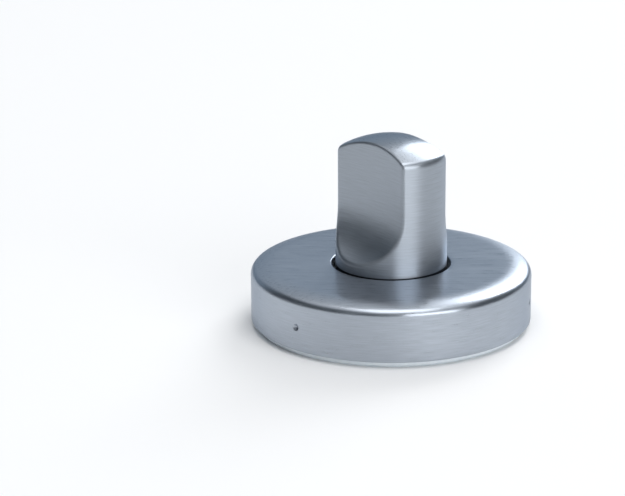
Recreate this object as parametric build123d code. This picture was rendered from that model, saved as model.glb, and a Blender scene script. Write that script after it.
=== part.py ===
from build123d import *

import math
import os

# Bathroom thumbturn on a round rose: a solid knob with two scooped sides turns in a moulded base,
# under a pressed steel cover that snaps onto the base.
# The origin is the middle of the back face, which lies against the door. +Z points out of the door,
# along the axis of the knob. At rest the grip of the knob lies along X, and -Y is down.
# All sizes are in millimetres, angles in degrees.

# Cover, pressed from sheet
cover_diameter = 52.0
cover_height = 10.5
cover_sheet = 0.8
cover_bend = 0.7  # inside radius between the face and the wall
cover_crown = 11.0  # larger radius in which the face rolls off before the bend
cover_crown_turn = 20.0  # how far the crown leans before the bend takes over
hole_edge_break = 0.3
rim_edge_break = 0.2

# Dimples pressed into the wall of the cover
dimple_count = 3
dimple_turn = 5.5  # from straight down to the first dimple
dimple_rise = 4.4  # above the rim of the cover
dimple_diameter = 1.3
dimple_depth = 0.45

# Base, moulded in one piece
base_stand = 1.2  # shows below the rim of the cover
cover_slip = 0.1  # radial room between the base and the wall of the cover
base_foot_chamfer = 0.4
base_plate = 3.2
base_rim = 2.4
hub_wall = 3.6
rib_count = 8
rib_thickness = 1.6
web_thickness = 2.8
recess_room = 1.0  # the front recess is this much larger than the hole in the cover
groove_room = 0.2  # room round a dimple in the snap groove

# Fixing holes through the base
screw_centres = 38.0
screw_hole = 4.4
screw_head = 8.4
screw_seat = 6.0  # length of the narrow part of the hole
boss_wall = 1.3

# Knob
knob_diameter = 20.6
knob_gap = 0.7  # radial gap to the hole in the cover
knob_reach = 24.1  # from the face of the cover to the top
dome_radius = 20.0
dome_edge_radius = 1.5
scoop_waist = 9.5  # thickness of the grip at the middle of the scoops
scoop_radius = 50.0  # hollow of the scoops across the grip
scoop_run_out = 10.5  # radius in which the scoops rise to the full round
scoop_foot = 1.9  # lowest point of the scoops above the face of the cover
knob_foot_chamfer = 0.5

# Shank of the knob, with the square socket for the spindle
shank_diameter = 14.0
bearing_room = 0.05
shank_flats = 12.0
shank_setback = 0.4  # from the door face to the end of the shank
shank_land = 0.8  # from the end of the shank to the circlip groove
spindle_square = 8.0
spindle_room = 0.1
socket_depth = 18.0
socket_corner_radius = 0.5

# Parts that hold the shank, from the back: circlip, curved spring washer, stop washer
circlip_thickness = 1.0
circlip_groove_depth = 0.35
circlip_width = 2.1
circlip_gap = 3.4
circlip_ear = 1.9
circlip_ear_hole = 1.7
circlip_room = 0.05
spring_thickness = 0.5
spring_height = 1.1
spring_room = 0.3
spring_width = 2.2
stop_thickness = 1.0
stop_width = 2.9
stop_tab_width = 5.0
stop_tab_reach = 3.2  # past the edge of the stop washer
stop_room = 0.05  # between the tab and each end stop
key_room = 0.05
axial_play = 0.05
back_recess_room = 1.3  # past the edge of the stop washer
tab_room = 0.4

# Heights above the door face
cover_rim_z = base_stand
cover_face_z = cover_rim_z + cover_height
base_top_z = cover_face_z - cover_sheet
crown_z = cover_face_z - cover_crown
groove_z = shank_setback + shank_land
circlip_z = groove_z + circlip_room
spring_z = circlip_z + circlip_thickness
stop_z = spring_z + spring_height
web_z = stop_z + stop_thickness + axial_play
shoulder_z = web_z + web_thickness
knob_foot_z = shoulder_z + axial_play
knob_top_z = cover_face_z + knob_reach
dimple_z = cover_rim_z + dimple_rise

# Radii that several pieces share
cover_radius = cover_diameter / 2
cover_bore_radius = cover_radius - cover_sheet
cover_shoulder = cover_bend + cover_sheet
base_radius = cover_bore_radius - cover_slip
crown_lean = math.radians(cover_crown_turn)
bend_x = cover_radius - cover_shoulder
bend_z = crown_z + (cover_crown - cover_shoulder) * math.cos(crown_lean)
face_radius = bend_x - (cover_crown - cover_shoulder) * math.sin(crown_lean)
knob_radius = knob_diameter / 2
hole_radius = knob_radius + knob_gap
shank_radius = shank_diameter / 2
circlip_groove_radius = shank_radius - circlip_groove_depth
stop_radius = shank_radius + stop_width
tab_radius = stop_radius + stop_tab_reach
back_recess_radius = stop_radius + back_recess_room
tab_pocket_radius = tab_radius + tab_room
hub_radius = tab_pocket_radius + hub_wall
through_all = 2 * knob_top_z  # longer than the whole object

standing = (Align.CENTER, Align.CENTER, Align.MIN)


def disc(radius, low, high):
    return Pos(0, 0, low) * Cylinder(radius, high - low, align=standing)


def ring(inner, outer, low, high):
    return disc(outer, low, high) - disc(inner, low, high)


def revolved(*points):
    return revolve(make_face(Plane.XZ * Polyline(*points, close=True)), Axis.Z)


def circle_edges(solid, radius, height):
    def matches(edge):
        same_radius = math.isclose(edge.radius, radius, abs_tol=1e-4)
        return same_radius and math.isclose(edge.center().Z, height, abs_tol=1e-4)
    return ShapeList(e for e in solid.edges().filter_by(GeomType.CIRCLE) if matches(e))


def dimple_places():
    for number in range(dimple_count):
        yield Rot(0, 0, dimple_turn - 90 + number * 360 / dimple_count)


def crowned_disc(inset):
    # The space under the surface that lies this far inside the outer skin of the cover.
    wall_x = cover_radius - inset
    face_z = cover_face_z - inset

    def on_arc(x, z, radius, angle):
        return x + (radius - inset) * math.sin(angle), z + (radius - inset) * math.cos(angle)

    bend_middle = (crown_lean + math.pi / 2) / 2
    outline = [
        Polyline((face_radius, face_z), (0, face_z), (0, cover_rim_z), (wall_x, cover_rim_z),
                 (wall_x, bend_z)),
        ThreePointArc((wall_x, bend_z), on_arc(bend_x, bend_z, cover_shoulder, bend_middle),
                      on_arc(bend_x, bend_z, cover_shoulder, crown_lean)),
        ThreePointArc(on_arc(face_radius, crown_z, cover_crown, crown_lean),
                      on_arc(face_radius, crown_z, cover_crown, crown_lean / 2), (face_radius, face_z)),
    ]
    return revolve(make_face(Plane.XZ * Curve(outline)), Axis.Z)


def make_cover():
    shell = crowned_disc(0) - crowned_disc(cover_sheet) - disc(hole_radius, base_top_z, cover_face_z)
    shell = chamfer(circle_edges(shell, hole_radius, cover_face_z), hole_edge_break)
    shell = chamfer(circle_edges(shell, cover_radius, cover_rim_z), rim_edge_break)
    dent_radius = (dimple_diameter**2 / 4 + dimple_depth**2) / (2 * dimple_depth)
    dent_centre = cover_radius - dimple_depth + dent_radius
    for place in dimple_places():
        spot = place * Pos(dent_centre, 0, dimple_z)
        bump = spot * Sphere(dent_radius + cover_sheet)
        shell = shell + (bump & disc(cover_radius, cover_rim_z, cover_face_z))
        shell = shell - spot * Sphere(dent_radius)
    return shell


def make_base():
    foot_radius = base_radius - base_foot_chamfer
    base = revolved((0, 0), (foot_radius, 0), (base_radius, base_foot_chamfer), (base_radius, bend_z),
                    (face_radius, base_top_z), (0, base_top_z))
    base -= snap_groove()
    base -= back_pockets()
    base -= disc(hole_radius + recess_room, shoulder_z, base_top_z)
    base -= disc(shank_radius + bearing_room, 0, base_top_z)
    base -= disc(back_recess_radius, 0, web_z)
    base -= tab_pocket()
    for x in (-screw_centres / 2, screw_centres / 2):
        base -= Pos(x, 0, 0) * disc(screw_hole / 2, 0, base_top_z)
        base -= Pos(x, 0, 0) * disc(screw_head / 2, screw_seat, base_top_z)
    return base


def snap_groove():
    depth = dimple_depth + groove_room
    half_mouth = dimple_diameter / 2 + cover_sheet / 2 + depth
    half_floor = half_mouth - depth
    floor = base_radius - depth
    return revolved((floor, dimple_z - half_floor), (base_radius, dimple_z - half_mouth),
                    (cover_radius, dimple_z - half_mouth), (cover_radius, dimple_z + half_mouth),
                    (base_radius, dimple_z + half_mouth), (floor, dimple_z + half_floor))


def back_pockets():
    pocket_top = base_top_z - base_plate
    pockets = ring(hub_radius, base_radius - base_rim, 0, pocket_top)
    for number in range(rib_count):
        rib = Pos(base_radius / 2, 0, 0) * Box(base_radius, rib_thickness, pocket_top, align=standing)
        pockets -= Rot(0, 0, number * 360 / rib_count) * rib
    for x in (-screw_centres / 2, screw_centres / 2):
        pockets -= Pos(x, 0, 0) * disc(screw_head / 2 + boss_wall, 0, pocket_top)
    return pockets


def tab_pocket():
    # The flat upper wall of the pocket stops the tab a quarter turn to either side.
    stop_y = stop_tab_width / 2 + stop_room
    sweep = 2 * tab_pocket_radius
    below_stop = Pos(0, stop_y - sweep / 2, 0) * Box(sweep, sweep, web_z, align=standing)
    return disc(tab_pocket_radius, 0, web_z) & below_stop


def make_knob():
    knob = knob_blank()
    for turn in (0, 180):
        knob -= Rot(0, 0, turn) * scoop_cutter()
    return knob + make_shank() - spindle_socket()


def knob_blank():
    # Turned blank: foot chamfer, wall, rounded edge and a dome, all tangent at the top.
    dome_z = knob_top_z - dome_radius
    edge_x = knob_radius - dome_edge_radius
    edge_z = dome_z + math.sqrt((dome_radius - dome_edge_radius)**2 - edge_x**2)
    lean = math.atan2(edge_z - dome_z, edge_x)
    wall_x = knob_radius - knob_foot_chamfer
    chamfer_z = knob_foot_z + knob_foot_chamfer

    def on_edge(angle):
        return edge_x + dome_edge_radius * math.cos(angle), edge_z + dome_edge_radius * math.sin(angle)

    def on_dome(angle):
        return dome_radius * math.cos(angle), dome_z + dome_radius * math.sin(angle)

    outline = [
        Polyline((0, knob_top_z), (0, knob_foot_z), (wall_x, knob_foot_z), (knob_radius, chamfer_z),
                 (knob_radius, edge_z)),
        ThreePointArc((knob_radius, edge_z), on_edge(lean / 2), on_edge(lean)),
        ThreePointArc(on_dome(lean), on_dome((lean + math.pi / 2) / 2), (0, knob_top_z)),
    ]
    return revolve(make_face(Plane.XZ * Curve(outline)), Axis.Z)


def scoop_cutter():
    # A wheel with a rounded lower corner, set beside the knob with its axis upright.
    depth = knob_radius - scoop_waist / 2
    corner_z = cover_face_z + scoop_foot + math.sqrt(2 * scoop_run_out * depth - depth**2)
    floor_z = corner_z - scoop_run_out
    corner_x = scoop_radius - scoop_run_out
    turn = math.sqrt(0.5) * scoop_run_out
    outline = [
        Polyline((scoop_radius, corner_z), (scoop_radius, through_all), (0, through_all), (0, floor_z),
                 (corner_x, floor_z)),
        ThreePointArc((corner_x, floor_z), (corner_x + turn, corner_z - turn), (scoop_radius, corner_z)),
    ]
    wheel = revolve(make_face(Plane.XZ * Curve(outline)), Axis.Z)
    return Pos(0, -scoop_radius - scoop_waist / 2, 0) * wheel


def make_shank():
    shank = disc(shank_radius, shank_setback, knob_foot_z)
    for side in (-1, 1):
        flat = Pos(0, side * shank_diameter, 0) * Box(
            2 * shank_diameter, 2 * shank_diameter - shank_flats, web_z, align=standing)
        shank -= flat
    groove = ring(circlip_groove_radius, shank_diameter, groove_z, spring_z + circlip_room)
    return shank - groove


def spindle_socket():
    side = spindle_square + 2 * spindle_room
    square = fillet(Rectangle(side, side).vertices(), socket_corner_radius)
    return Pos(0, 0, shank_setback) * extrude(square, socket_depth)


def make_stop_washer():
    outline = Circle(stop_radius)
    outline += Pos(0, -tab_radius / 2) * Rectangle(stop_tab_width, tab_radius)
    key_hole = Circle(shank_radius + key_room)
    key_hole &= Rectangle(2 * shank_diameter, shank_flats + 2 * key_room)
    return Pos(0, 0, stop_z) * extrude(outline - key_hole, stop_thickness)


def make_spring_washer():
    inner = shank_radius + spring_room
    outer = inner + spring_width
    bow = spring_height - spring_thickness
    bend = (outer**2 + bow**2) / (2 * bow)
    sheet = Cylinder(bend, 2 * outer) - Cylinder(bend - spring_thickness, 2 * outer)
    sheet = Pos(0, 0, spring_z + spring_height - bend) * Rot(0, 90, 0) * sheet
    return ring(inner, outer, spring_z, spring_z + spring_height) & sheet


def make_circlip():
    inner = circlip_groove_radius + circlip_room
    ear_x = circlip_gap / 2 + circlip_ear / 2
    ear_y = inner + circlip_width
    outline = Circle(inner + circlip_width)
    ears = [Pos(side * ear_x, ear_y) * Circle(circlip_ear) for side in (-1, 1)]
    holes = [Pos(side * ear_x, ear_y) * Circle(circlip_ear_hole / 2) for side in (-1, 1)]
    outline = outline + ears - Circle(inner) - holes
    outline -= Pos(0, ear_y) * Rectangle(circlip_gap, 2 * circlip_width + circlip_gap)
    return Pos(0, 0, circlip_z) * extrude(outline, circlip_thickness)


pieces = {
    "rose_cover": make_cover(),
    "base_rose": make_base(),
    "thumb_knob": make_knob(),
    "stop_washer": make_stop_washer(),
    "spring_washer": make_spring_washer(),
    "circlip": make_circlip(),
}

os.makedirs("parts", exist_ok=True)
for name, piece in pieces.items():
    export_step(piece, f"parts/{name}.step")
    print(name, round(piece.volume, 1), piece.is_valid)
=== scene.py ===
import bpy
import math
import numpy as np
from mathutils import Matrix, Vector


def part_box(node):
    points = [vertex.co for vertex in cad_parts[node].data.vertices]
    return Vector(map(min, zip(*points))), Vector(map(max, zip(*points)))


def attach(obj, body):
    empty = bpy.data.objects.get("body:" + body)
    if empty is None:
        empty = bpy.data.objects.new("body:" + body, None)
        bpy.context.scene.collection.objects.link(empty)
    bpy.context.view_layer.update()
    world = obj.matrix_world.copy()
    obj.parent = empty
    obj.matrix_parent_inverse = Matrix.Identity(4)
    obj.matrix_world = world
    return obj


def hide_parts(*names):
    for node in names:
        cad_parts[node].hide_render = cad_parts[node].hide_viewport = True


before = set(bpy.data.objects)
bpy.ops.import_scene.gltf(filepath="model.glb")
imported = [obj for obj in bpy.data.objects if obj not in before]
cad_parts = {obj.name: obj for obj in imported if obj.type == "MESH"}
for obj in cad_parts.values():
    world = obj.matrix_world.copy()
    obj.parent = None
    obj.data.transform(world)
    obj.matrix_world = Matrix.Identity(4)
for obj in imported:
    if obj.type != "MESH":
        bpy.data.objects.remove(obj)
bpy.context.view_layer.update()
mm = 0.001
samePoint = 1e-6  # mm, outline points closer than this are one
weldReach = 0.001  # mm, doubles closer than this are merged
smoothUpTo = 35  # degrees, sharper edges stay crisp
print("frame loaded:", ", ".join(sorted(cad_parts)))


# Small tools for modelling, all sizes in millimetres

def arcPoints(centreX, centreZ, radius, startAngle, endAngle, steps):
    points = []
    for step in range(steps + 1):
        angle = math.radians(startAngle + (endAngle - startAngle) * step / steps)
        points.append((centreX + radius * math.cos(angle), centreZ + radius * math.sin(angle)))
    return points


def straight(start, end, steps):
    return [(start[0] + (end[0] - start[0]) * step / steps,
             start[1] + (end[1] - start[1]) * step / steps) for step in range(steps + 1)]


def joined(*runs):
    points = []
    for run in runs:
        for point in run:
            if not points or math.dist(point, points[-1]) > samePoint:
                points.append(point)
    return points


def pickOnly(piece):
    bpy.ops.object.select_all(action="DESELECT")
    bpy.context.view_layer.objects.active = piece
    piece.select_set(True)


def turnOnLathe(name, outline, segments):
    # one vertex is drawn along the outline in the XZ plane, and the line is then spun about Z
    bpy.ops.object.select_all(action="DESELECT")
    bpy.ops.mesh.primitive_plane_add(size=mm, location=(outline[0][0] * mm, 0, outline[0][1] * mm))
    piece = bpy.context.object
    piece.name = piece.data.name = name
    bpy.ops.object.transform_apply(location=True, rotation=True, scale=True)
    bpy.ops.object.mode_set(mode="EDIT")
    bpy.ops.mesh.select_mode(type="VERT")
    bpy.ops.mesh.select_all(action="SELECT")
    bpy.ops.mesh.merge(type="CENTER")
    for (x, z), (nextX, nextZ) in zip(outline, outline[1:]):
        move = ((nextX - x) * mm, 0, (nextZ - z) * mm)
        bpy.ops.mesh.extrude_region_move(TRANSFORM_OT_translate={"value": move})
    bpy.ops.mesh.select_all(action="SELECT")
    bpy.ops.mesh.spin(steps=segments, angle=2 * math.pi, center=(0, 0, 0), axis=(0, 0, 1))
    bpy.ops.mesh.select_all(action="SELECT")
    bpy.ops.mesh.remove_doubles(threshold=weldReach * mm)
    bpy.ops.mesh.normals_make_consistent(inside=False)
    bpy.ops.object.mode_set(mode="OBJECT")
    return piece


def readPoints(piece):
    points = np.empty(len(piece.data.vertices) * 3)
    piece.data.vertices.foreach_get("co", points)
    return points.reshape(-1, 3) / mm


def writePoints(piece, points):
    piece.data.vertices.foreach_set("co", (points * mm).ravel())
    piece.data.update()


def cutWith(piece, tool):
    cut = piece.modifiers.new("cut", "BOOLEAN")
    cut.operation = "DIFFERENCE"
    cut.solver = "EXACT"
    cut.object = tool
    pickOnly(piece)
    bpy.ops.object.modifier_apply(modifier="cut")
    bpy.data.objects.remove(tool)


def shadeByAngle(piece):
    pickOnly(piece)
    bpy.ops.object.shade_smooth_by_angle(angle=math.radians(smoothUpTo))


# Rose cover: pressed sheet with a crowned edge, a hole for the knob and pressed dimples

cover = {
    "sheet": 0.8, "bend": 0.7, "crown": 11.0, "crownTurn": 20.0,
    "holeRadius": 11.0, "holeEdge": 0.3, "rimEdge": 0.2,
    "dimples": 3, "dimpleTurn": 5.5, "dimpleRise": 4.4, "dimpleRadius": 0.68, "dimpleDepth": 0.42,
    "dimplePatch": 2.2, "dimpleCuts": 7, "dimpleFade": 1.5,  # patch in radii, cuts per face, softness
    "segments": 288, "faceSteps": 12, "curveSteps": 14, "wallSteps": 18, "insideSteps": 6,
    "holeSteps": 6, "rimSteps": 4, "innerWallSteps": 4, "underSteps": 3,
}
coverLow, coverHigh = (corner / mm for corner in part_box("rose_cover"))
coverRadius, rimZ, faceZ = coverHigh.x, coverLow.z, coverHigh.z


def makeCover():
    sheet, lean = cover["sheet"], 90 - cover["crownTurn"]
    shoulder = cover["bend"] + sheet
    bendX, turn = coverRadius - shoulder, math.radians(cover["crownTurn"])
    crownX = bendX - (cover["crown"] - shoulder) * math.sin(turn)
    crownZ = faceZ - cover["crown"]
    bendZ = crownZ + (cover["crown"] - shoulder) * math.cos(turn)
    hole, edge, rim = cover["holeRadius"], cover["holeEdge"], cover["rimEdge"]
    under, inside = faceZ - sheet, coverRadius - sheet
    curve, within = cover["curveSteps"], cover["insideSteps"]
    outline = joined(
        [(hole, under)], arcPoints(hole + edge, faceZ - edge, edge, 180, 90, cover["holeSteps"]),
        straight((hole + edge, faceZ), (crownX, faceZ), cover["faceSteps"]),
        arcPoints(crownX, crownZ, cover["crown"], 90, lean, curve),
        arcPoints(bendX, bendZ, shoulder, lean, 0, curve),
        straight((coverRadius, bendZ), (coverRadius, rimZ + rim), cover["wallSteps"]),
        arcPoints(coverRadius - rim, rimZ + rim, rim, 0, -90, cover["rimSteps"]),
        straight((inside, rimZ), (inside, bendZ), cover["innerWallSteps"]),
        arcPoints(bendX, bendZ, shoulder - sheet, 0, lean, within),
        arcPoints(crownX, crownZ, cover["crown"] - sheet, lean, 90, within),
        straight((crownX, under), (hole, under), cover["underSteps"]))
    piece = turnOnLathe("rose_cover_satin", outline, cover["segments"])
    for number in range(cover["dimples"]):
        pressDimple(piece, math.radians(cover["dimpleTurn"] - 90 + number * 360 / cover["dimples"]))
    shadeByAngle(piece)
    return piece


def pressDimple(piece, angle):
    # the wall round the dimple is divided finely, laid back on the round and dented
    around, up = Vector((math.cos(angle), math.sin(angle), 0)), rimZ + cover["dimpleRise"]
    centre = Vector((coverRadius * around.x, coverRadius * around.y, up))
    patch = cover["dimplePatch"] * cover["dimpleRadius"]
    for parts in (piece.data.polygons, piece.data.edges, piece.data.vertices):
        parts.foreach_set("select", [False] * len(parts))
    for face in piece.data.polygons:
        near = (face.center / mm - centre).length < patch
        face.select = near and face.normal.dot(around) > 0.9  # outer wall only
    bpy.context.view_layer.objects.active = piece
    bpy.ops.object.mode_set(mode="EDIT")
    bpy.ops.mesh.select_mode(type="FACE")
    bpy.ops.mesh.subdivide(number_cuts=cover["dimpleCuts"])
    bpy.ops.object.mode_set(mode="OBJECT")
    points = readPoints(piece)
    radial = np.hypot(points[:, 0], points[:, 1])
    fromCentre = np.linalg.norm(points - np.array(centre), axis=1)
    touched = (fromCentre < 2 * patch) & (radial > coverRadius - 0.1)  # the outer skin
    dent = np.clip(1 - (fromCentre / cover["dimpleRadius"]) ** 2, 0, 1) ** cover["dimpleFade"]
    scale = (coverRadius - cover["dimpleDepth"] * dent[touched]) / radial[touched]
    points[touched, 0] *= scale
    points[touched, 1] *= scale
    writePoints(piece, points)


# Thumb knob: turned blank, two scooped sides with rounded edges, shank with flats, groove and socket

knob = {
    "domeRadius": 20.0, "domeEdge": 1.5, "footChamfer": 0.5,
    "waist": 9.5, "scoopRadius": 50.0, "runOut": 10.5, "scoopFoot": 1.9, "edgeRound": 0.5,
    "footZ": 7.25, "shankRadius": 7.0, "shankFlats": 12.0, "flatsTop": 4.4, "flatsStep": 0.001,
    "grooveLow": 1.2, "grooveHigh": 2.3, "grooveRadius": 6.65, "endChamfer": 0.25,
    "socket": 8.2, "socketDepth": 18.0, "socketCorner": 0.5, "cornerSteps": 5,
    "segments": 320, "footSteps": 6, "wallSteps": 130, "edgeSteps": 10, "domeSteps": 56,
    "halvings": 36,  # of the search for the surface of the scoops
}
knobLow, knobHigh = (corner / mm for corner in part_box("thumb_knob"))
knobRadius, knobEnd, knobTop = knobHigh.x, knobLow.z, knobHigh.z


def makeKnob():
    domeZ, edgeX = knobTop - knob["domeRadius"], knobRadius - knob["domeEdge"]
    edgeZ = domeZ + math.sqrt((knob["domeRadius"] - knob["domeEdge"]) ** 2 - edgeX ** 2)
    lean = math.degrees(math.atan2(edgeZ - domeZ, edgeX))
    shank, foot, chamfer = knob["shankRadius"], knob["footZ"], knob["footChamfer"]
    low, high, groove = knob["grooveLow"], knob["grooveHigh"], knob["grooveRadius"]
    flats, end = knob["flatsTop"], knob["endChamfer"]
    outline = joined(
        [(0, knobEnd), (shank - end, knobEnd), (shank, knobEnd + end)],
        [(shank, low), (groove, low), (groove, high), (shank, high)],
        [(shank, flats - knob["flatsStep"]), (shank, flats), (shank, foot), (knobRadius - chamfer, foot)],
        straight((knobRadius, foot + chamfer), (knobRadius, faceZ), knob["footSteps"]),
        straight((knobRadius, faceZ), (knobRadius, edgeZ), knob["wallSteps"]),
        arcPoints(edgeX, edgeZ, knob["domeEdge"], 0, lean, knob["edgeSteps"]),
        arcPoints(0, domeZ, knob["domeRadius"], lean, 90, knob["domeSteps"]))
    piece = turnOnLathe("thumb_knob_satin", outline, knob["segments"])
    pressScoops(piece, domeZ, edgeX, edgeZ)
    pressFlats(piece)
    cutWith(piece, socketTool())
    shadeByAngle(piece)
    return piece


def pressScoops(piece, domeZ, edgeX, edgeZ):
    # every point above the rose moves in along its radius to the blank less two wheels, with a rounded edge
    points = readPoints(piece)
    chosen = points[:, 2] > faceZ
    x, y, z = points[chosen].T
    reach = np.hypot(x, y)
    safeReach = np.maximum(reach, 1e-9)  # the tip of the dome has no radius
    along = np.where(reach > 0, x / safeReach, 1)
    across = np.where(reach > 0, np.abs(y) / safeReach, 0)
    wheelRadius, halfWaist, runOut = knob["scoopRadius"], knob["waist"] / 2, knob["runOut"]
    depth, edgeRound = knobRadius - halfWaist, knob["edgeRound"]
    cornerZ = faceZ + knob["scoopFoot"] + math.sqrt(2 * runOut * depth - depth ** 2)
    edgeSlope = (edgeZ - domeZ) / edgeX

    def outside(radius):
        onEdge = np.hypot(radius - edgeX, z - edgeZ) - knob["domeEdge"]
        onDome = np.hypot(radius, z - domeZ) - knob["domeRadius"]
        onTop = np.where(z - domeZ < edgeSlope * radius, onEdge, onDome)
        blank = np.where(z > edgeZ, onTop, radius - knobRadius)
        wheel = np.hypot(radius * along, wheelRadius + halfWaist - radius * across)
        flatPart = wheelRadius - wheel
        cornerPart = runOut - np.hypot(np.maximum(wheel - (wheelRadius - runOut), 0), z - cornerZ)
        scoop = np.where(z < cornerZ, cornerPart, flatPart)
        near = np.maximum(edgeRound - np.abs(blank - scoop), 0) / edgeRound
        return np.maximum(blank, scoop) + near ** 2 * edgeRound / 4

    inside, beyond = np.zeros_like(reach), reach + 0.5
    for halving in range(knob["halvings"]):
        middle = (inside + beyond) / 2
        solid = outside(middle) < 0
        inside = np.where(solid, middle, inside)
        beyond = np.where(solid, beyond, middle)
    scale = np.where(reach > samePoint, np.minimum(inside, reach) / safeReach, 1)
    points[chosen, 0] *= scale
    points[chosen, 1] *= scale
    writePoints(piece, points)


def pressFlats(piece):
    points = readPoints(piece)
    half = knob["shankFlats"] / 2
    low = points[:, 2] < knob["flatsTop"] - knob["flatsStep"] / 2
    points[low, 1] = np.clip(points[low, 1], -half, half)
    writePoints(piece, points)


def socketTool():
    side, deep = knob["socket"], knob["socketDepth"]
    bpy.ops.object.select_all(action="DESELECT")
    bpy.ops.mesh.primitive_cube_add(size=1, location=(0, 0, knobEnd * mm))
    tool = bpy.context.object
    tool.dimensions = (side * mm, side * mm, 2 * deep * mm)
    bpy.ops.object.transform_apply(location=True, rotation=True, scale=True)
    bpy.ops.object.mode_set(mode="EDIT")
    bpy.ops.mesh.select_mode(type="EDGE")
    bpy.ops.mesh.select_all(action="DESELECT")
    bpy.ops.object.mode_set(mode="OBJECT")
    for edge in tool.data.edges:
        one, two = (tool.data.vertices[index].co for index in edge.vertices)
        edge.select = abs(one.z - two.z) > deep * mm  # the four upright edges
    bpy.ops.object.mode_set(mode="EDIT")
    bpy.ops.mesh.bevel(offset=knob["socketCorner"] * mm, segments=knob["cornerSteps"], profile=0.5)
    bpy.ops.object.mode_set(mode="OBJECT")
    return tool


coverPiece = makeCover()
print("rose cover modelled:", len(coverPiece.data.polygons), "faces")
knobPiece = makeKnob()
print("thumb knob modelled:", len(knobPiece.data.polygons), "faces")


# Materials

def newMaterial(name):
    material = bpy.data.materials.new(name)
    material.use_nodes = True
    nodes, links = material.node_tree.nodes, material.node_tree.links
    return material, nodes, links, nodes["Principled BSDF"]


def addNode(nodes, kind, values=None, operation=None):
    node = nodes.new("ShaderNode" + kind)
    if operation:
        node.operation = operation
    for socket, value in (values or {}).items():
        node.inputs[socket].default_value = value
    return node


def twoTone(nodes, low, dark, high, light):
    ramp = addNode(nodes, "ValToRGB")
    for stop, position, colour in zip(ramp.color_ramp.elements, (low, high), (dark, light)):
        stop.position = position
        stop.color = (*colour, 1)
    return ramp


# Satin steel: streaks lie along the brush lines, and the shine spreads across them

brushing = {
    "detail": 4, "noiseRoughness": 0.58, "streakLow": 0.3, "streakHigh": 0.7,
    "paintedShadeFrom": -0.12, "paintedShadeTo": 0.03,  # mm from the face of the rose, where the painted shade for the gap round the knob ends
    "level": -0.001,  # a level face counts as falling one way throughout
}


def wallCoordinates(nodes, links, place, parts, spec):
    # level brush lines round the wall
    lines = addNode(nodes, "CombineXYZ")
    if spec["round"]:
        angle = addNode(nodes, "Math", operation="ARCTAN2")
        links.new(parts.outputs["Y"], angle.inputs[0])
        links.new(parts.outputs["X"], angle.inputs[1])
        length = addNode(nodes, "Math", {1: spec["along"] * spec["round"] * mm}, "MULTIPLY")
        links.new(angle.outputs[0], length.inputs[0])
        links.new(length.outputs[0], lines.inputs["X"])
    else:
        length = addNode(nodes, "VectorMath", {1: (spec["along"], spec["along"], 0)}, "MULTIPLY")
        links.new(place.outputs["Object"], length.inputs[0])
        split = addNode(nodes, "SeparateXYZ")
        links.new(length.outputs[0], split.inputs[0])
        links.new(split.outputs["X"], lines.inputs["X"])
        links.new(split.outputs["Y"], lines.inputs["Y"])
    height = addNode(nodes, "Math", {1: spec["across"]}, "MULTIPLY")
    links.new(parts.outputs["Z"], height.inputs[0])
    links.new(height.outputs[0], lines.inputs["Z"])
    return lines


def faceCoordinates(nodes, links, place, spec):
    # straight brush lines on the face
    turned = addNode(nodes, "Mapping", {"Rotation": (0, 0, -math.radians(spec["brushTurn"]))})
    links.new(place.outputs["Object"], turned.inputs["Vector"])
    stretch = (spec["along"], spec["across"], spec["across"])
    lines = addNode(nodes, "VectorMath", {1: stretch}, "MULTIPLY")
    links.new(turned.outputs[0], lines.inputs[0])
    return lines


def shineDirection(nodes, links, place, flatness, spec):
    # across the brush lines: upright on walls, and on the face turned the way that the surface falls
    turn = math.radians(spec["brushTurn"])
    wallShine = addNode(nodes, "CombineXYZ", {"Z": 1})
    slope = addNode(nodes, "VectorMath", {1: (-math.sin(turn), math.cos(turn), 0)}, "DOT_PRODUCT")
    links.new(place.outputs["Normal"], slope.inputs[0])
    falls = addNode(nodes, "Math", {1: brushing["level"]}, "GREATER_THAN")
    links.new(slope.outputs["Value"], falls.inputs[0])
    oneWay = addNode(nodes, "MapRange", {"To Min": -1})
    links.new(falls.outputs[0], oneWay.inputs["Value"])
    faceShine = addNode(nodes, "VectorMath", {0: (math.sin(turn), -math.cos(turn), 0)}, "SCALE")
    links.new(oneWay.outputs[0], faceShine.inputs["Scale"])
    shine = addNode(nodes, "Mix")
    shine.data_type = "VECTOR"
    links.new(flatness.outputs[0], shine.inputs["Factor"])
    links.new(wallShine.outputs[0], shine.inputs[4])  # vector sockets A and B
    links.new(faceShine.outputs[0], shine.inputs[5])
    toWorld = addNode(nodes, "VectorTransform")
    toWorld.vector_type = "VECTOR"
    toWorld.convert_from = "OBJECT"
    toWorld.convert_to = "WORLD"
    links.new(shine.outputs[1], toWorld.inputs[0])
    return toWorld


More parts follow.
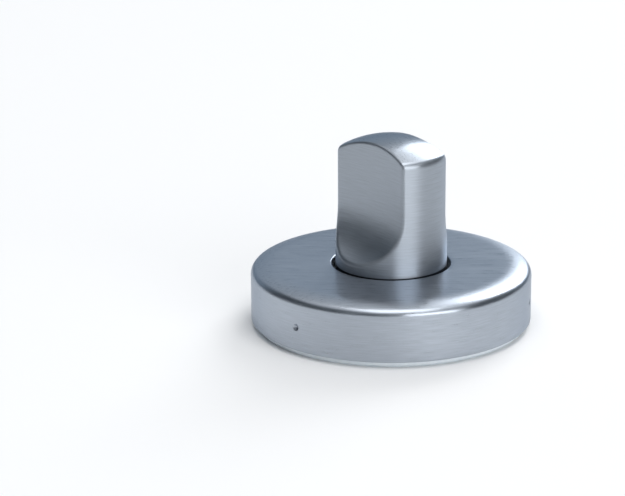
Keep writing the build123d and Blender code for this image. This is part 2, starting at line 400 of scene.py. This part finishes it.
def satinSteel(name, spec):
    material, nodes, links, shader = newMaterial(name)
    shader.inputs["Metallic"].default_value = 1
    shader.inputs["Anisotropic"].default_value = spec["anisotropic"]
    shader.inputs["Specular Tint"].default_value = (*spec["edgeTint"], 1)
    place = addNode(nodes, "TexCoord")
    parts = addNode(nodes, "SeparateXYZ")
    links.new(place.outputs["Object"], parts.inputs[0])
    upright = addNode(nodes, "SeparateXYZ")
    links.new(place.outputs["Normal"], upright.inputs[0])
    flatness = addNode(nodes, "MapRange", {"From Min": spec["wallUp"], "From Max": spec["faceUp"]})
    links.new(upright.outputs["Z"], flatness.inputs["Value"])  # 0 on walls, 1 on the face

    streaks = addNode(nodes, "Mix")
    streaks.data_type = "FLOAT"
    links.new(flatness.outputs[0], streaks.inputs["Factor"])
    wallLines = wallCoordinates(nodes, links, place, parts, spec)
    faceLines = faceCoordinates(nodes, links, place, spec)
    for lines, socket in ((wallLines, "A"), (faceLines, "B")):
        noise = addNode(nodes, "TexNoise", {
            "Scale": 1, "Detail": brushing["detail"], "Roughness": brushing["noiseRoughness"]})
        links.new(lines.outputs[0], noise.inputs["Vector"])
        links.new(noise.outputs["Fac"], streaks.inputs[socket])

    dark = [channel * (1 - spec["tint"]) for channel in spec["colour"]]
    light = [channel * (1 + spec["tint"]) for channel in spec["colour"]]
    tint = twoTone(nodes, brushing["streakLow"], dark, brushing["streakHigh"], light)
    links.new(streaks.outputs["Result"], tint.inputs[0])
    depth = addNode(nodes, "MapRange", {  # below the face of the rose the colour is darkened: painted shade for the gap round the knob
        "From Min": (faceZ + brushing["paintedShadeFrom"]) * mm, "From Max": (faceZ + brushing["paintedShadeTo"]) * mm,
        "To Min": spec["gapShade"]})
    links.new(parts.outputs["Z"], depth.inputs["Value"])
    gapShaded = addNode(nodes, "VectorMath", operation="SCALE")
    links.new(tint.outputs[0], gapShaded.inputs[0])
    links.new(depth.outputs[0], gapShaded.inputs["Scale"])
    links.new(gapShaded.outputs[0], shader.inputs["Base Color"])

    dull = addNode(nodes, "MapRange", {
        "From Min": brushing["streakLow"], "From Max": brushing["streakHigh"],
        "To Min": -spec["roughSpread"], "To Max": spec["roughSpread"]})
    links.new(streaks.outputs["Result"], dull.inputs["Value"])
    bySide = addNode(nodes, "MapRange", {"To Min": spec["wallRoughness"], "To Max": spec["faceRoughness"]})
    links.new(flatness.outputs[0], bySide.inputs["Value"])
    roughness = addNode(nodes, "Math", operation="ADD")
    links.new(dull.outputs[0], roughness.inputs[0])
    links.new(bySide.outputs[0], roughness.inputs[1])
    links.new(roughness.outputs[0], shader.inputs["Roughness"])
    bump = addNode(nodes, "Bump", {"Strength": spec["bump"], "Distance": spec["bumpDepth"] * mm})
    links.new(streaks.outputs["Result"], bump.inputs["Height"])
    links.new(bump.outputs[0], shader.inputs["Normal"])
    shine = shineDirection(nodes, links, place, flatness, spec)
    links.new(shine.outputs[0], shader.inputs["Tangent"])
    return material


coverSteel = satinSteel("satin_steel_cover", {
    "colour": (0.425, 0.465, 0.52), "tint": 0.11, "anisotropic": 0.55,
    "faceRoughness": 0.31, "wallRoughness": 0.31, "roughSpread": 0.05,
    "brushTurn": 46, "along": 210, "across": 5600, "round": 26.0, "wallUp": 0.3, "faceUp": 0.9,
    "bump": 0.22, "bumpDepth": 0.02, "edgeTint": (0.66, 0.69, 0.73), "gapShade": 1.0,
})
# the knob's colour is scaled to a tenth below the face of the rose: painted shade for the gap round it
knobSteel = satinSteel("satin_steel_knob", {
    "colour": (0.425, 0.465, 0.515), "tint": 0.11, "anisotropic": 0.76,
    "faceRoughness": 0.31, "wallRoughness": 0.4, "roughSpread": 0.05,
    "brushTurn": 0, "along": 210, "across": 5200, "round": 0, "wallUp": 0.3, "faceUp": 0.9,
    "bump": 0.35, "bumpDepth": 0.02, "edgeTint": (0.66, 0.69, 0.73), "gapShade": 0.1,
})


# Plain finishes: moulded nylon, plated steel and dark spring steel, with a fine grain

graining = {"detail": 5, "grainLow": 0.35, "grainHigh": 0.65, "roughSpread": 0.06, "bumpDepth": 0.02}


def plainFinish(name, spec):
    material, nodes, links, shader = newMaterial(name)
    shader.inputs["Metallic"].default_value = spec["metallic"]
    place = addNode(nodes, "TexCoord")
    grain = addNode(nodes, "TexNoise", {"Scale": spec["grain"], "Detail": graining["detail"]})
    links.new(place.outputs["Object"], grain.inputs["Vector"])
    tint = twoTone(nodes, graining["grainLow"], spec["dark"], graining["grainHigh"], spec["light"])
    links.new(grain.outputs["Fac"], tint.inputs[0])
    links.new(tint.outputs[0], shader.inputs["Base Color"])
    dull = addNode(nodes, "MapRange", {
        "To Min": spec["roughness"] - graining["roughSpread"],
        "To Max": spec["roughness"] + graining["roughSpread"]})
    links.new(grain.outputs["Fac"], dull.inputs["Value"])
    links.new(dull.outputs[0], shader.inputs["Roughness"])
    bump = addNode(nodes, "Bump", {"Strength": spec["bump"], "Distance": graining["bumpDepth"] * mm})
    links.new(grain.outputs["Fac"], bump.inputs["Height"])
    links.new(bump.outputs[0], shader.inputs["Normal"])
    return material


whiteNylon = plainFinish("white_nylon", {
    "dark": (0.80, 0.87, 0.92), "light": (0.86, 0.92, 0.96),
    "grain": 900, "roughness": 0.42, "bump": 0.2, "metallic": 0,
})
platedSteel = plainFinish("plated_steel", {
    "dark": (0.52, 0.54, 0.55), "light": (0.66, 0.68, 0.68),
    "grain": 1400, "roughness": 0.34, "bump": 0.3, "metallic": 1,
})
springSteel = plainFinish("spring_steel", {
    "dark": (0.09, 0.09, 0.10), "light": (0.15, 0.15, 0.16),
    "grain": 1800, "roughness": 0.42, "bump": 0.3, "metallic": 1,
})


def dress(piece, material):
    piece.data.materials.clear()
    piece.data.materials.append(material)


dress(coverPiece, coverSteel)
dress(knobPiece, knobSteel)
dress(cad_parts["base_rose"], whiteNylon)
dress(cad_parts["stop_washer"], platedSteel)
dress(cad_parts["spring_washer"], springSteel)
dress(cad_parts["circlip"], springSteel)
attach(coverPiece, "rose")
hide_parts("rose_cover")
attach(knobPiece, "knob")
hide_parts("thumb_knob")
print("materials on")


# Floor, light and camera

studio = {
    "floorSize": 8.0, "floorColour": (0.95, 0.95, 0.95, 1), "floorRoughness": 0.9,
    "sky": ((0.0, (0.30, 0.37, 0.45)), (0.3, (0.42, 0.51, 0.61)), (0.55, (0.47, 0.54, 0.61)),
            (0.70, (0.54, 0.58, 0.63)), (0.80, (0.74, 0.76, 0.79)), (1.0, (0.9, 0.9, 0.9))),
    "bright": (-0.766, 0.643, 0), "darkAt": 0.45, "brightAt": 0.85, "darkLevel": 0.15,  # dark except behind
    "overheadFrom": 0.62, "overheadTo": 0.8,  # above this the sky is light all round
}


def makeFloor():
    bpy.ops.object.select_all(action="DESELECT")
    bpy.ops.mesh.primitive_plane_add(size=studio["floorSize"])
    floor = bpy.context.object
    floor.name = "floor"
    material, nodes, links, shader = newMaterial("pale_floor")
    shader.inputs["Base Color"].default_value = studio["floorColour"]
    shader.inputs["Roughness"].default_value = studio["floorRoughness"]
    shader.inputs["Specular IOR Level"].default_value = 0
    dress(floor, material)


def makeSky():
    world = bpy.data.worlds.new("soft_light")
    bpy.context.scene.world = world
    world.use_nodes = True
    nodes, links = world.node_tree.nodes, world.node_tree.links
    place = addNode(nodes, "TexCoord")
    parts = addNode(nodes, "SeparateXYZ")
    ramp = addNode(nodes, "ValToRGB")
    stops = ramp.color_ramp.elements
    stops.remove(stops[1])
    for position, colour in studio["sky"]:
        stop = stops[0] if position == 0 else stops.new(position)
        stop.color = (*colour, 1)
    links.new(place.outputs["Generated"], parts.inputs[0])
    links.new(parts.outputs["Z"], ramp.inputs[0])
    links.new(ramp.outputs[0], nodes["Background"].inputs["Color"])
    side = addNode(nodes, "VectorMath", {1: studio["bright"]}, "DOT_PRODUCT")
    level = addNode(nodes, "MapRange", {
        "From Min": studio["darkAt"], "From Max": studio["brightAt"], "To Min": studio["darkLevel"]})
    links.new(place.outputs["Generated"], side.inputs[0])
    links.new(side.outputs["Value"], level.inputs["Value"])
    above = addNode(nodes, "MapRange", {
        "From Min": studio["overheadFrom"], "From Max": studio["overheadTo"]})
    links.new(parts.outputs["Z"], above.inputs["Value"])
    strength = addNode(nodes, "Math", operation="MAXIMUM")
    links.new(level.outputs[0], strength.inputs[0])
    links.new(above.outputs[0], strength.inputs[1])
    links.new(strength.outputs[0], nodes["Background"].inputs["Strength"])


lamps = {
    "window": {"azimuth": 109.5, "elevation": 33, "distance": 2.0, "size": (0.95, 1.1), "power": 17},
    "overhead": {"azimuth": -30, "elevation": 74, "distance": 1.5, "size": (1.1, 1.1), "power": 7.5},
    "fill": {"azimuth": -10, "elevation": 18, "distance": 1.5, "size": (1.2, 0.6), "power": 8.5},
}


def makeLight(name, spec):
    lamp = bpy.data.lights.new(name, "AREA")
    lamp.shape = "RECTANGLE"
    lamp.size, lamp.size_y = spec["size"]
    lamp.energy = spec["power"]
    light = bpy.data.objects.new(name, lamp)
    bpy.context.scene.collection.objects.link(light)
    around, up = math.radians(spec["azimuth"]), math.radians(spec["elevation"])
    toLight = Vector((math.cos(around) * math.cos(up), math.sin(around) * math.cos(up), math.sin(up)))
    light.location = toLight * spec["distance"]
    light.rotation_mode = "QUATERNION"
    light.rotation_quaternion = toLight.to_track_quat("Z", "Y")


view = {
    "azimuth": 46.5, "elevation": 18.0, "roll": 0.2, "distance": 500.0, "lens": 155.5, "sensor": 36,
    "lookAt": (0, 0, faceZ), "pictureSize": (625, 496), "lookAtPixel": (391.2, 261.5),
    "clipStart": 0.01, "clipEnd": 20,
}


def makeCamera():
    camera = bpy.data.cameras.new("photo_camera")
    holder = bpy.data.objects.new("photo_camera", camera)
    bpy.context.scene.collection.objects.link(holder)
    around, up, roll = (math.radians(view[key]) for key in ("azimuth", "elevation", "roll"))
    back = Vector((math.sin(around) * math.cos(up), -math.cos(around) * math.cos(up), math.sin(up)))
    level = Vector((math.cos(around), math.sin(around), 0))
    right = level * math.cos(roll) + back.cross(level) * math.sin(roll)
    upward = back.cross(right)
    stand = Matrix.Translation((Vector(view["lookAt"]) + back * view["distance"]) * mm)
    holder.matrix_world = stand @ Matrix((right, upward, back)).transposed().to_4x4()
    camera.sensor_width = view["sensor"]
    camera.lens = view["lens"]
    width, height = view["pictureSize"]
    camera.shift_x = (width / 2 - view["lookAtPixel"][0]) / width
    camera.shift_y = (view["lookAtPixel"][1] - height / 2) / width
    camera.clip_start = view["clipStart"]
    camera.clip_end = view["clipEnd"]
    bpy.context.scene.camera = holder


makeFloor()
makeSky()
for lampName, lampSpec in lamps.items():
    makeLight(lampName, lampSpec)
makeCamera()
bpy.context.scene.view_settings.view_transform = "Standard"
print("studio ready")
